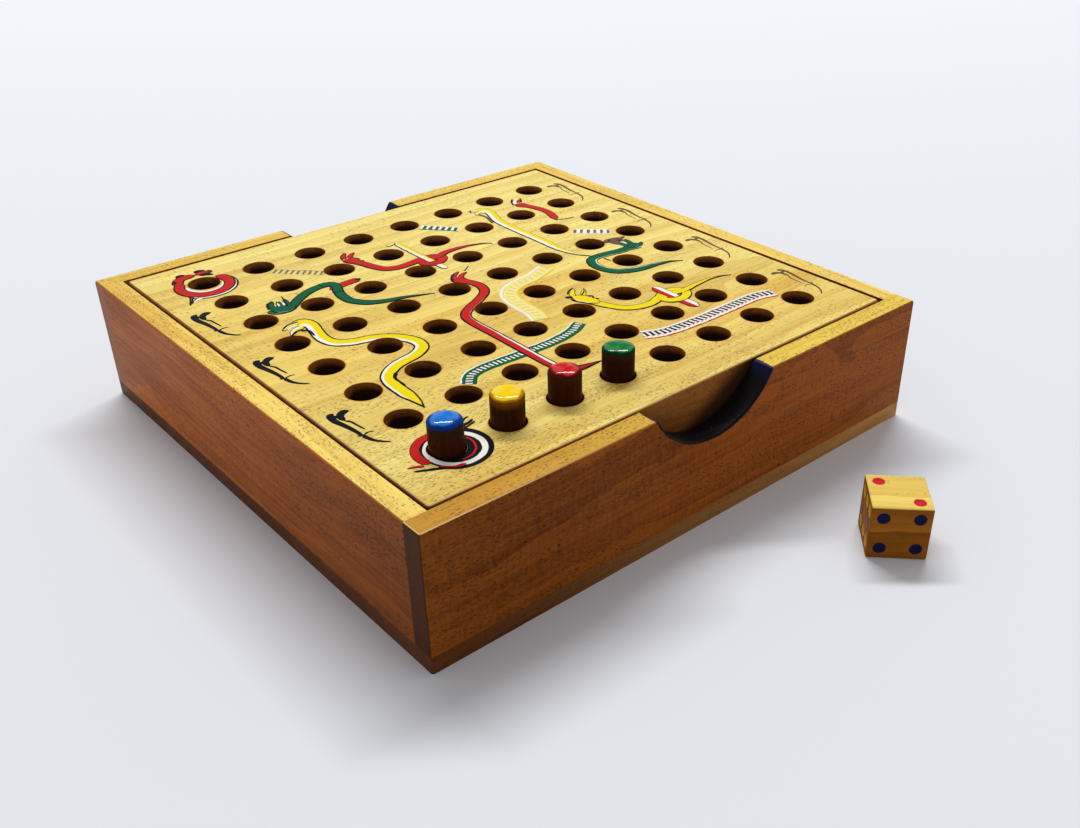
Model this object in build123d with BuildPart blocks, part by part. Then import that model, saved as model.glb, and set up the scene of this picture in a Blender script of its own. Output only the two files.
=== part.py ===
from build123d import *
import os

# Travel snakes and ladders set. A square wooden box is closed by its own thick playing
# board, which is drilled for pegs and lifts out by a finger notch in the front and back walls.
# The origin is the centre of the box's underside, X runs along the notched front wall,
# the front is at minus Y, and Z is up. All sizes are in millimetres.

# Box
box_side = 180.0
box_height = 40.0
wall_thickness = 6.5
bottom_thickness = 5.0
broken_edge = 0.5
wall_height = box_height - bottom_thickness
inner_side = box_side - 2 * wall_thickness

# Finger notch, an arc whose centre lies above the wall and a little off the middle
notch_radius = 24.5
notch_rise = 11.7
notch_shift = 3.0
notch_corner_round = 1.5

# Playing board and its peg holes
board_gap = 1.0
board_side = inner_side - 2 * board_gap
board_thickness = 15.0
board_corner_round = 1.0
squares = 8
hole_pitch = 18.6
hole_radius = 5.0
hole_depth = 11.0
first_hole = -hole_pitch * (squares - 1) / 2

# Corner blocks that carry the board
block_side = 10.0
block_chamfer = 2.0
block_height = box_height - board_thickness - bottom_thickness

# Pegs, which stand in the first four holes of the front row
peg_radius = 4.5
peg_length = 20.0
peg_top_chamfer = 1.2
peg_colours = ("blue", "yellow", "red", "green")

# Die, which lies on the table in front of the box
die_side = 16.0
die_edge_chamfer = 0.3
die_place = (32.4, -129.4)
die_turn = -46.0
pip_radius = 1.6
pip_depth = 0.6
pip_sides = 8
pip_offset = 4.7

os.makedirs("parts", exist_ok=True)


def keep(piece, name):
    """Label a finished piece and write it to its own file."""
    piece.label = name
    export_step(piece, f"parts/{name}.step")
    print(f"{name}: {len(piece.solids())} solid, {piece.volume / 1000:.2f} cm3")


# Bottom panel: a flat board under the four walls, its edges flush with their outer faces
with BuildPart() as bottom_panel:
    with BuildSketch():
        Rectangle(box_side, box_side)
    extrude(amount=bottom_thickness)
    chamfer(bottom_panel.edges().filter_by(Axis.Z), broken_edge)
keep(bottom_panel.part, "bottom_panel")


def notched_wall(name, outer_face):
    """A full-length wall with a finger notch; its outer face lies on the given plane,
    whose X runs along the wall and whose Y is up."""
    with BuildPart() as wall:
        with BuildSketch(outer_face):
            with Locations((0, bottom_thickness)):
                Rectangle(box_side, wall_height, align=(Align.CENTER, Align.MIN))
            with Locations((notch_shift, box_height + notch_rise)):
                Circle(notch_radius, mode=Mode.SUBTRACT)
        extrude(amount=-wall_thickness)
        top_face_ends = wall.edges().filter_by(Axis.Y).group_by(Axis.Z)[-1]
        fillet(top_face_ends.sort_by(Axis.X)[1:3], notch_corner_round)
        outside = wall.faces().sort_by(Axis(outer_face.origin, outer_face.z_dir))[-1]
        rim = outside.edges().sort_by(Axis.Z)[1:]
        end_tops = wall.edges().filter_by(Axis.Y).group_by(Axis.Z)[-1].sort_by(Axis.X)
        chamfer(rim + [end_tops[0], end_tops[-1]], broken_edge)
    keep(wall.part, name)


# Front and back walls: the same piece, the back one turned half a turn
half_side = box_side / 2
notched_wall("front_wall", Plane((0, -half_side, 0), x_dir=(1, 0, 0), z_dir=(0, -1, 0)))
notched_wall("back_wall", Plane((0, half_side, 0), x_dir=(-1, 0, 0), z_dir=(0, 1, 0)))

# Left and right walls: plain boards whose ends butt against the notched walls
for name, side in (("left_wall", -1), ("right_wall", 1)):
    with BuildPart() as side_wall:
        with BuildSketch(Plane.XY.offset(bottom_thickness)):
            with Locations((side * (half_side - wall_thickness / 2), 0)):
                Rectangle(wall_thickness, inner_side)
        extrude(amount=wall_height)
        top_edges = side_wall.faces().sort_by(Axis.Z)[-1].edges().filter_by(Axis.Y)
        chamfer(top_edges.sort_by(Axis.X)[0 if side < 0 else -1], broken_edge)
    keep(side_wall.part, name)

# Corner blocks: square posts glued into the four inner corners, one long edge planed off
for end, y_side in (("front", -1), ("back", 1)):
    for hand, x_side in (("left", -1), ("right", 1)):
        with BuildPart() as corner_block:
            with BuildSketch(Plane.XY.offset(bottom_thickness)):
                with Locations((x_side * inner_side / 2, y_side * inner_side / 2)):
                    Rectangle(
                        block_side,
                        block_side,
                        align=(
                            Align.MIN if x_side < 0 else Align.MAX,
                            Align.MIN if y_side < 0 else Align.MAX,
                        ),
                    )
            extrude(amount=block_height)
            uprights = corner_block.edges().filter_by(Axis.Z)
            chamfer(uprights.sort_by_distance((0, 0, 0))[0], block_chamfer)
        keep(corner_block.part, f"corner_block_{end}_{hand}")

# Playing board: one thick panel that rests on the corner blocks, flush with the walls' tops,
# drilled with eight rows of eight blind peg holes
with BuildPart() as playing_board:
    with BuildSketch(Plane.XY.offset(box_height - board_thickness)):
        RectangleRounded(board_side, board_side, board_corner_round)
    extrude(amount=board_thickness)
    chamfer(playing_board.faces().sort_by(Axis.Z)[-1].edges(), broken_edge)
    with Locations((0, 0, box_height)):
        with GridLocations(hole_pitch, hole_pitch, squares, squares):
            Hole(hole_radius, hole_depth)
keep(playing_board.part, "playing_board")

# Pegs: dowels with a chamfered top, one for each player
for count, colour in enumerate(peg_colours):
    hole_floor = (first_hole + count * hole_pitch, first_hole, box_height - hole_depth)
    with BuildPart(Plane(hole_floor)) as peg:
        Cylinder(peg_radius, peg_length, align=(Align.CENTER, Align.CENTER, Align.MIN))
        chamfer(peg.edges().sort_by(Axis.Z)[-1], peg_top_chamfer)
    keep(peg.part, f"{colour}_peg")


def pip_pattern(count):
    """Places of the pips on a face, as pairs in the face's own plane."""
    near, far = -pip_offset, pip_offset
    corners = [(near, far), (far, near), (near, near), (far, far)]
    places = corners[:2] if count in (2, 3) else []
    if count >= 4:
        places = corners
    if count == 6:
        places = places + [(near, 0), (far, 0)]
    if count % 2:
        places = places + [(0, 0)]
    return places


# Die: a sawn cube with shallow pips; opposite faces add up to seven
half_die = die_side / 2
die_frame = Plane((*die_place, half_die)).rotated((0, 0, die_turn))
die_faces = (
    (2, (0, 0, half_die), (0, 0, 0)),
    (5, (0, 0, -half_die), (180, 0, 0)),
    (4, (0, -half_die, 0), (90, 0, 0)),
    (3, (0, half_die, 0), (-90, 0, 0)),
    (6, (-half_die, 0, 0), (0, -90, 0)),
    (1, (half_die, 0, 0), (0, 90, 0)),
)
with BuildPart(die_frame) as die:
    Box(die_side, die_side, die_side)
    chamfer(die.edges(), die_edge_chamfer)
    for count, middle, turn in die_faces:
        with BuildSketch(die_frame * Location(middle, turn)):
            with Locations(*pip_pattern(count)):
                RegularPolygon(pip_radius, pip_sides)
        extrude(amount=-pip_depth, mode=Mode.SUBTRACT)
keep(die.part, "die")
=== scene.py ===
import math

import bpy
import numpy as np
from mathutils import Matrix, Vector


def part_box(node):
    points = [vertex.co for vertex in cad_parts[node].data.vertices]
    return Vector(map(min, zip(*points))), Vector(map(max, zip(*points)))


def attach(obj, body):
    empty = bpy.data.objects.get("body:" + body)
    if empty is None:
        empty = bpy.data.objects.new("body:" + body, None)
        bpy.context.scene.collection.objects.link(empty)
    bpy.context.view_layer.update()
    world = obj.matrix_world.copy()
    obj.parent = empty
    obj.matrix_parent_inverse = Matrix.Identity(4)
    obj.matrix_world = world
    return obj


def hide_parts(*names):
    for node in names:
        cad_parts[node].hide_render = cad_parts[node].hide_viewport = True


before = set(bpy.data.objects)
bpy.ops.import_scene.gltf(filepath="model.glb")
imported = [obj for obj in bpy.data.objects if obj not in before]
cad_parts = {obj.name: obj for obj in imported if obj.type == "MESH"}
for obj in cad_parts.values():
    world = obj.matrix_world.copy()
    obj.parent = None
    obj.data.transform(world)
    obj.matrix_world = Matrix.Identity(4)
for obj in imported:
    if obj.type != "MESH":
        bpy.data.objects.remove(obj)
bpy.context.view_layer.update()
mm = 0.001


# Bottom panel
# A flat board of plain wood glued under the four walls, its sawn edges flush with them. Only
# its edge shows on the closed box, and its upper face is the floor of the storage hollow.


class Value:
    """What a shader node puts out: a number, a vector or a colour. Each sum on it is one more
    node of the same tree, and a comparison gives 1 where it holds and 0 elsewhere."""

    def __init__(self, socket):
        self.socket = socket
        self.tree = socket.id_data

    def __add__(self, other):
        return maths("ADD", self, other)

    def __sub__(self, other):
        return maths("SUBTRACT", self, other)

    def __rsub__(self, other):
        return maths("SUBTRACT", other, self)

    def __mul__(self, other):
        return maths("MULTIPLY", self, other)

    def __truediv__(self, other):
        return maths("DIVIDE", self, other)

    def __gt__(self, other):
        return maths("GREATER_THAN", self, other)

    def __lt__(self, other):
        return maths("LESS_THAN", self, other)


def feed(socket, value):
    """Gives a socket a constant, or joins it to another node's output."""
    if isinstance(value, Value):
        socket.id_data.links.new(value.socket, socket)
    else:
        socket.default_value = value


def add_node(tree, kind, inputs=None, **settings):
    """A new node of a shader tree, with its settings and with what its sockets are fed."""
    made = tree.nodes.new("ShaderNode" + kind)
    for name, value in settings.items():
        setattr(made, name, value)
    for name, value in (inputs or {}).items():
        feed(made.inputs[name], value)
    return made


def tree_of(*values):
    """The shader tree of the first of these that a node puts out."""
    return next(value.tree for value in values if isinstance(value, Value))


def maths(operation, *values, kind="Math", **settings):
    """The result of one sum, on numbers, or on vectors where the kind is VectorMath."""
    made = add_node(tree_of(*values), kind, dict(enumerate(values)), operation=operation, **settings)
    return Value(made.outputs[0])


def parts_of(vector):
    """The X, Y and Z of a vector."""
    return [Value(socket) for socket in add_node(vector.tree, "SeparateXYZ", {0: vector}).outputs]


def noise(vector, scales, detail=2.0, output="Fac"):
    """Smooth noise with that many lumps to the metre along X, Y and Z."""
    scaled = maths("MULTIPLY", vector, scales, kind="VectorMath")
    made = add_node(vector.tree, "TexNoise", {"Vector": scaled, "Scale": 1.0, "Detail": detail})
    return Value(made.outputs[output])


def fade(value, low, high):
    """0 below the low value and 1 above the high one, with a smooth step between them."""
    limits = {"Value": value, "From Min": low, "From Max": high}
    made = add_node(value.tree, "MapRange", limits, interpolation_type="SMOOTHSTEP")
    return Value(made.outputs["Result"])


def blend(share, first, second, kind="MIX"):
    """The colour that lies that share of the way from the first to the second, or to their
    product where the kind is MULTIPLY."""
    tree = tree_of(share, first, second)
    made = add_node(tree, "Mix", {0: share, 6: first, 7: second}, data_type="RGBA", blend_type=kind)
    return Value(made.outputs[2])


def new_group(name, inputs, outputs):
    """An empty node group with named sockets, with what it is given and what it has to feed."""
    tree = bpy.data.node_groups.new(name, "ShaderNodeTree")
    for side, sockets in (("INPUT", inputs), ("OUTPUT", outputs)):
        for socket, kind in sockets.items():
            tree.interface.new_socket(socket, in_out=side, socket_type="NodeSocket" + kind)
    given = tree.nodes.new("NodeGroupInput").outputs
    return tree, {name: Value(given[name]) for name in inputs}, tree.nodes.new("NodeGroupOutput").inputs


def use_group(tree, group, values):
    """What a node group puts out when it is placed in a material with these values."""
    made = add_node(tree, "Group", values, node_tree=group)
    return {socket.name: Value(socket) for socket in made.outputs}


def make_sawn_wood():
    """Wood sawn along X. Growth rings are waves about the X axis, bent by slow noise, and
    fibres are noise drawn out along X. Ripple is fine noise drawn out across the grain, as on
    curly wood. Pores are long thin cells, of which a share shows, more in some places."""
    tree, given, result = new_group(
        "sawn_wood",
        {"Vector": "Vector", "Light": "Color", "Dark": "Color", "Pore": "Color",
         "Rings": "Float", "Pores": "Float", "Ripple": "Float"},
        {"Color": "Color", "Roughness": "Float", "Height": "Float"},
    )
    slow = noise(given["Vector"], (7, 26, 26), output="Color")
    bent = maths("MULTIPLY_ADD", slow, (0.0, 0.014, 0.014), given["Vector"], kind="VectorMath")

    wave = {"Vector": bent, "Scale": 42.0, "Distortion": 2.2, "Detail": 3.0, "Detail Scale": 0.6}
    rings = add_node(tree, "TexWave", wave, wave_type="RINGS", rings_direction="X", wave_profile="SAW")
    broad = fade(noise(bent, (6, 60, 60)), 0.35, 0.75)
    fibre = noise(bent, (26, 900, 900), detail=3.0)
    ripple = noise(bent, (1300, 130, 190), detail=3.0)
    tone = Value(rings.outputs["Fac"]) * given["Rings"] + broad * 0.45 + (fibre - 0.5) * 1.1
    tone = maths("MULTIPLY_ADD", ripple - 0.5, given["Ripple"], tone, use_clamp=True)

    drawn_out = maths("MULTIPLY", bent, (680, 2600, 2600), kind="VectorMath")
    cells = add_node(tree, "TexVoronoi", {"Vector": drawn_out, "Scale": 1.0}).outputs
    chance, darkness, _ = parts_of(Value(cells["Color"]))
    crowd = fade(noise(given["Vector"], (30, 110, 110), detail=3.0), 0.36, 0.62)
    inside = 1.0 - fade(Value(cells["Distance"]), 0.12, 0.50)
    pores = (chance < given["Pores"] * crowd) * inside * (darkness * 0.6 + 0.4)

    feed(result["Color"], blend(pores, blend(tone, given["Light"], given["Dark"]), given["Pore"]))
    feed(result["Roughness"], fibre * 0.2 + 0.28)
    feed(result["Height"], fibre - pores)
    return tree


sawn_wood = make_sawn_wood()


def new_material(name, specular=0.045):
    """An empty material with a surface shader, as the tree, the material and the shader."""
    material = bpy.data.materials.new(name)
    material.use_nodes = True
    tree = material.node_tree
    tree.nodes.clear()
    shader = add_node(tree, "BsdfPrincipled", {"Specular IOR Level": specular})
    add_node(tree, "OutputMaterial", {"Surface": Value(shader.outputs[0])})
    return tree, material, shader


def finish_surface(shader, colour, roughness, height, depth, normal=None):
    """Feeds the shader its colour and roughness, and lets a height pattern tilt the surface
    that it sees."""
    pattern = {"Strength": 0.5, "Distance": depth, "Height": height}
    if normal is not None:
        pattern["Normal"] = normal
    bump = add_node(shader.id_data, "Bump", pattern)
    feed(shader.inputs["Base Color"], colour)
    feed(shader.inputs["Roughness"], roughness)
    feed(shader.inputs["Normal"], Value(bump.outputs[0]))


def object_place(tree):
    """The piece's own coordinates, in metres."""
    return Value(add_node(tree, "TexCoord").outputs["Object"])


def wood_grain(tree, light, dark, pore, turn=(0, 0, 0), shift=(0, 0, 0), **amounts):
    """Sawn wood on the piece's own coordinates, turned so that X runs along the grain and
    shifted so that each piece is cut from its own part of the plank."""
    turned = add_node(tree, "Mapping", {
        "Vector": object_place(tree), "Rotation": [math.radians(angle) for angle in turn], "Location": shift})
    values = {"Vector": Value(turned.outputs[0]), "Light": light, "Dark": dark, "Pore": pore,
              "Rings": 0.35, "Pores": 0.5, "Ripple": 0.2}
    return use_group(tree, sawn_wood, {**values, **amounts})


half_side = 90 * mm
panel_light = (0.56, 0.28, 0.080, 1)
panel_dark = (0.30, 0.12, 0.028, 1)
panel_pore = (0.08, 0.028, 0.008, 1)
panel_near_painted_shade = (0.25, 0.16, 0.13, 1)
untinted = (1, 1, 1, 1)

tree, panel_finish, shader = new_material("panel_finish")
wood = wood_grain(tree, panel_light, panel_dark, panel_pore, shift=(0.2, 0, 0.031))
x, y, z = parts_of(object_place(tree))
# The panel's edge is painted darker towards its left end, as painted shade.
painted_light_tint = blend(fade(x, -half_side, half_side), panel_near_painted_shade, untinted)
colour = blend(1.0, wood["Color"], painted_light_tint, "MULTIPLY")
finish_surface(shader, colour, wood["Roughness"], wood["Height"], 0.15 * mm)
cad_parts["bottom_panel"].data.materials[0] = panel_finish


# Front and back walls
# Full-length boards of open-pored honey-brown hardwood, varnished, each with a finger notch
# sawn into its top edge. The cut is painted a glossy black with a brush, with a painted blue
# reflection towards its right end, and the walls' sawn ends show as dark strips at the
# corners of the box.

wall_top = 40 * mm
notch_radius = 24.5 * mm
notch_centre_height = 51.7 * mm
notch_shift = 3 * mm

top_light = (0.92, 0.67, 0.125, 1)
top_dark = (0.62, 0.35, 0.042, 1)
top_pore = (0.20, 0.070, 0.010, 1)
# The sides' colours are darker copies of the top's, as painted shade.
shaded_side_light = (0.56, 0.185, 0.018, 1)
shaded_side_dark = (0.19, 0.045, 0.004, 1)
shaded_side_pore = (0.030, 0.008, 0.002, 1)
edge_highlight = (0.95, 0.71, 0.30, 1)
notch_black = (0.006, 0.005, 0.005, 1)
notch_blue_reflection = (0.010, 0.009, 0.075, 1)
notch_gloss = 0.30
top_ripple = 0.5


def make_top_and_edges():
    """Tells a box's faces apart. Top is 1 on the level face at the given height, and Edge is 1
    on the upper part of faces that slope at half a right angle. Normal is the face's own
    normal, there lifted half way to the vertical, as a rubbed edge is rounded and catches
    the light."""
    tree, given, result = new_group(
        "top_and_edges", {"Height": "Float"}, {"Top": "Float", "Edge": "Float", "Normal": "Vector"})
    facing = Value(add_node(tree, "NewGeometry").outputs["True Normal"])
    upward = parts_of(facing)[2]
    height = parts_of(object_place(tree))[2]
    level = upward > 0.9
    edge = (upward > 0.5) * (1.0 - level) * (height > given["Height"] - 0.24 * mm)
    lift = Value(add_node(tree, "CombineXYZ", {"Z": edge}).outputs[0])
    lifted = maths("NORMALIZE", maths("ADD", facing, lift, kind="VectorMath"), kind="VectorMath")
    feed(result["Top"], level * (height > given["Height"] - 0.1 * mm))
    feed(result["Edge"], edge)
    feed(result["Normal"], lifted)
    return tree


top_and_edges = make_top_and_edges()


def distance(across, upward):
    """How far away a point is that lies so far across and so far up."""
    return maths("SQRT", across * across + upward * upward)


def from_notch(x, z, notch_at):
    """Distance outward from the notch's cylinder, whose axis crosses the walls."""
    return distance(x - notch_at, z - notch_centre_height) - notch_radius


def wall_finish(name, turn, shift, near, far, side_ripple, pores, highlight_strength=(0.15, 0.15), end=None,
                notch_at=None):
    """Varnished wall wood. Its sides take darker copies of the top face's colours, as painted
    shade, and the upper part of its broken edges takes a pale painted highlight. Near and far
    are the colours by which the sides and the top are multiplied at the wall's left or front
    end and at its other end, a painted gradient of light and shade along the wall, and the
    edge highlight's strength at both ends is given as a pair. Side ripple is how curly the
    sides are, and pores is how many show. End is the colour of the sawn ends, and notch_at
    the place of the notch's cylinder along the wall. The notch's cut is painted black, with a
    painted blue reflection towards its right end."""
    tree, material, shader = new_material(name)
    place = object_place(tree)
    x, y, z = parts_of(place)
    faces = use_group(tree, top_and_edges, {"Height": wall_top})
    top = faces["Top"]
    light, dark, pore = (
        blend(top, *pair)
        for pair in ((shaded_side_light, top_light), (shaded_side_dark, top_dark), (shaded_side_pore, top_pore))
    )
    ripple = top * (top_ripple - side_ripple) + side_ripple
    wood = wood_grain(tree, light, dark, pore, turn=turn, shift=shift, Pores=pores, Ripple=ripple)
    along = y if turn[2] else x
    # Painted gradient of light and shade along the wall.
    painted_light_tint = blend(fade(along, -half_side, 0.5 * half_side), blend(top, *near), blend(top, *far))
    colour, rough = blend(1.0, wood["Color"], painted_light_tint, "MULTIPLY"), wood["Roughness"]
    if end is not None:
        at_end = fade(maths("ABSOLUTE", x), half_side - 0.4 * mm, half_side - 0.1 * mm)
        colour = blend(at_end * (1.0 - top), colour, end)
    # A pale painted highlight on the upper part of the broken edges, stronger at one end.
    edge_glint = fade(along, -half_side, -0.2 * half_side) * (highlight_strength[1] - highlight_strength[0]) + highlight_strength[0]
    colour = blend(faces["Edge"] * edge_glint, colour, edge_highlight)
    if notch_at is not None:
        wobble = noise(place, (260, 260, 260)) * (0.7 * mm) + 0.25 * mm
        bare = fade(from_notch(x, z, notch_at), wobble, wobble + 0.08 * mm)
        brushed = fade(noise(place, (350, 60, 350), detail=3.0), 0.35, 0.65)
        # Towards the right end of the notch the black turns blue in brush-like patches, a painted reflection.
        to_right = fade(x, notch_at + 0.74 * notch_radius, notch_at + 0.94 * notch_radius)
        blue_reflection = to_right * (brushed * 0.8 + 0.2)
        colour = blend(bare, blend(blue_reflection, notch_black, notch_blue_reflection), colour)
        rough = bare * (rough - notch_gloss) + notch_gloss
    finish_surface(shader, colour, rough, wood["Height"], 0.12 * mm, faces["Normal"])
    return material


# Painted light and shade along the front and back walls: the front wall's near end is darker and its far end
# lighter, on its sides and on its top.
front_near_painted_light = (0.50, 0.40, 0.32, 1), (0.64, 0.45, 0.28, 1)
front_far_painted_light = (0.66, 0.52, 0.40, 1), (0.94, 0.92, 0.72, 1)
front_end = (0.070, 0.020, 0.005, 1)
back_tints = (untinted, untinted)
back_end = (0.34, 0.125, 0.050, 1)
for node, notch_at, shift, near, far, highlight_strength, end in (
    ("front_wall", notch_shift, (0.0, 0.12, -0.045), front_near_painted_light, front_far_painted_light, (0.75, 0.1), front_end),
    ("back_wall", -notch_shift, (0.31, -0.05, -0.052), back_tints, back_tints, (0.1, 0.1), back_end),
):
    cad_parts[node].data.materials[0] = wall_finish(
        node + "_finish", (0, 0, 0), shift, near, far, side_ripple=0.8, pores=2.6, highlight_strength=highlight_strength, end=end,
        notch_at=notch_at)


# Left and right walls
# Plain boards of the same wood, cut to fit between the notched walls and glued to them, so
# that their ends don't show. Their grain runs from front to back.

# Painted light and shade along the left and right walls: at the front end their sides are darker and more
# violet, and their tops paler and bluer, a painted sheen.
side_walls_near_painted_light = (0.56, 0.43, 0.52, 1), (1.06, 1.10, 1.45, 1)
side_walls_far_painted_light = (1.02, 0.84, 1.04, 1), (1.06, 1.06, 1.20, 1)
for node, shift in (("left_wall", (0.07, 0.105, -0.07)), ("right_wall", (0.45, -0.06, -0.03))):
    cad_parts[node].data.materials[0] = wall_finish(
        node + "_finish", (0, 0, -90), shift, side_walls_near_painted_light, side_walls_far_painted_light, side_ripple=0.45, pores=1.2)


# Corner blocks
# Short square posts of unvarnished wood glued into the inner corners, grain upright. The
# playing board rests on them. They show only when the board is out.

block_light = (0.62, 0.40, 0.16, 1)
block_dark = (0.42, 0.23, 0.08, 1)

tree, block_finish, shader = new_material("block_finish")
wood = wood_grain(tree, block_light, block_dark, panel_pore, turn=(0, 90, 0), shift=(0, 0.02, 0.05))
finish_surface(shader, wood["Color"], wood["Roughness"] + 0.3, wood["Height"], 0.2 * mm)
for end in ("front", "back"):
    for hand in ("left", "right"):
        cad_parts[f"corner_block_{end}_{hand}"].data.materials[0] = block_finish


# Playing board
# A thick panel of honey-yellow wood, sanded and varnished on top, its grain from left to
# right. The 64 peg holes are drilled, and inside them the wood is painted dark as painted
# shade, darkest at the bottom.

board_top = 40 * mm
board_half = 82.5 * mm
rim_strip = 1.2 * mm
hole_pitch = 18.6 * mm
hole_radius = 5.0 * mm
board_light = (0.90, 0.68, 0.17, 1)
board_dark = (0.62, 0.37, 0.060, 1)
board_pore = (0.14, 0.042, 0.003, 1)
board_shaded_side = (0.33, 0.110, 0.014, 1)
board_shaded_side_dark = (0.13, 0.040, 0.009, 1)
hole_shaded_brown = (0.46, 0.16, 0.034, 1)
hole_shaded_brown_dark = (0.14, 0.045, 0.010, 1)
hole_deep_shade = (0.034, 0.014, 0.008, 1)
cream_tint = (1.06, 1.17, 1.46, 1)
burnt_rim = (0.86, 0.66, 0.40, 1)
streak_tint = (0.92, 0.78, 0.52, 1)
stain_and_shadow = (0.012, 0.007, 0.005, 1)

tree, board_finish, shader = new_material("board_finish")
place = object_place(tree)
x, y, z = parts_of(place)
faces = use_group(tree, top_and_edges, {"Height": board_top})
top = faces["Top"]
farthest = maths("MAXIMUM", maths("ABSOLUTE", x), maths("ABSOLUTE", y))
outside = farthest > board_half - rim_strip
# Top faces take the top colours, and the board's sides and its hole walls darker copies of them, as painted
# shade.
light, dark, pore = (
    blend(top, blend(outside, in_hole, on_side), on_top)
    for in_hole, on_side, on_top in (
        (hole_shaded_brown, board_shaded_side, board_light), (hole_shaded_brown_dark, board_shaded_side_dark, board_dark),
        (hole_shaded_brown_dark, board_shaded_side_dark, board_pore))
)
from_corner = fade(x * 0.45 + y, -1.25 * board_half, -0.4 * board_half)
wood = wood_grain(tree, light, dark, pore, shift=(0.13, 0.03, -0.075), Rings=0.4,
                  Pores=2.0 - from_corner * 1.6, Ripple=0.35)
# Towards the near corner and the far right the top is paler and creamier, partly a painted sheen.
to_far_right = fade(x * 0.7 + y, -0.35 * board_half, 0.45 * board_half)
creamy = maths("MAXIMUM", 1.0 - from_corner, to_far_right)
colour = blend(1.0, wood["Color"], blend(creamy, untinted, cream_tint), "MULTIPLY")
streaks = fade(noise(place, (6, 70, 0), detail=4.0), 0.52, 0.70)
colour = blend(streaks, colour, streak_tint, "MULTIPLY")

# Round each hole its rim is a little burnt. Down in it the wood is painted dark as painted
# shade: on the right side of each hole from the top, on the left side from a few millimetres
# down, so that the left side shows lighter as painted light.
across, upward = (maths("FRACT", way / hole_pitch) - 0.5 for way in (x, y))
from_hole = distance(across, upward) * hole_pitch
smoke = noise(place, (250, 250, 0)) * mm + 0.05 * mm
burnt = 1.0 - fade(from_hole, hole_radius, smoke + hole_radius)
drilled = farthest < 4 * hole_pitch
colour = blend(burnt * top * drilled, colour, burnt_rim, "MULTIPLY")
shade_from_height = fade(across, -0.26, 0.02) * (4.2 * mm) + (board_top - 4.5 * mm)
deep_shade = 1.0 - fade(z, shade_from_height - 2.5 * mm, shade_from_height)
in_hole = (from_hole < hole_radius + 0.05 * mm) * (1.0 - outside)
colour = blend(deep_shade * in_hole, colour, hole_deep_shade)

# The board's front side has a painted shadow where the right end of the notch shows it, dark
# with a slanting edge.
front_side = outside * (y < rim_strip - board_half) * (1.0 - top)
behind_notch = 1.0 - fade(from_notch(x, z, notch_shift), 1.5 * mm, 7 * mm)
slanting = fade((board_top - z) * 1.6 + x, 13 * mm, 26 * mm)
colour = blend(front_side * (slanting * behind_notch * 0.85), colour, stain_and_shadow)
# A pale painted highlight on the upper part of the broken edges, strongest at the near corner.
edge_glint = faces["Edge"] * (0.6 - from_corner * 0.45)
colour = blend(edge_glint, colour, edge_highlight)
finish_surface(shader, colour, wood["Roughness"], wood["Height"], 0.10 * mm, faces["Normal"])
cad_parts["playing_board"].data.materials[0] = board_finish


# Painted snakes
# Snakes brushed on the board by hand in gloss paint: a body in one or two colours between
# thin black lines, open jaws at its head, and a tail that runs out to a point. The paint
# stops at the rim of each hole. Two of the snakes are knotted once round a painted bar.

rim = 0.03 * mm
holes_a_side = 8
film = 0.05 * mm
sunk = 0.03 * mm

white_paint = (0.95, 0.93, 0.84, 1)
black_paint = (0.006, 0.006, 0.010, 1)
red_paint = (0.60, 0.016, 0.012, 1)
dark_red_paint = (0.26, 0.008, 0.008, 1)
green_paint = (0.001, 0.118, 0.044, 1)
yellow_paint = (0.92, 0.74, 0.006, 1)
bark_paint = (0.15, 0.085, 0.045, 1)


def on_board(places):
    """Board coordinates in metres of places counted in holes from the front left one."""
    return (np.asarray(places, float) - (holes_a_side - 1) / 2) * hole_pitch


def smooth_line(points, spacing=0.4 * mm):
    """Evenly spaced points on the smooth line through the given ones, and each one's distance
    from the first. The line's slope at a point is half the step between its neighbours."""
    points = np.asarray(points, float)
    padded = np.vstack([2 * points[0] - points[1], points, 2 * points[-1] - points[-2]])
    before, start, end, after = (padded[k:len(padded) - 3 + k, None] for k in range(4))
    t = np.linspace(0, 1, 24, endpoint=False)[None, :, None]
    line = 0.5 * (2 * start + (end - before) * t + (2 * before - 5 * start + 4 * end - after) * t**2
                  + (3 * start - before - 3 * end + after) * t**3)
    line = np.vstack([line.reshape(-1, 2), points[-1]])
    length = np.concatenate([[0], np.cumsum(np.linalg.norm(np.diff(line, axis=0), axis=1))])
    along = np.linspace(0, length[-1], max(int(length[-1] / spacing), 6) + 1)
    return np.column_stack([np.interp(along, length, line[:, k]) for k in (0, 1)]), along


def off_the_holes(flat):
    """Points that lie within a hole are moved straight out to its rim."""
    middle = (holes_a_side - 1) / 2
    nearest = np.clip(np.round(flat / hole_pitch + middle), 0, holes_a_side - 1)
    centre = (nearest - middle) * hole_pitch
    away = flat - centre
    length = np.maximum(np.linalg.norm(away, axis=-1, keepdims=True), 1e-9)
    return centre + away * np.maximum(length, hole_radius + rim) / length


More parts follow.
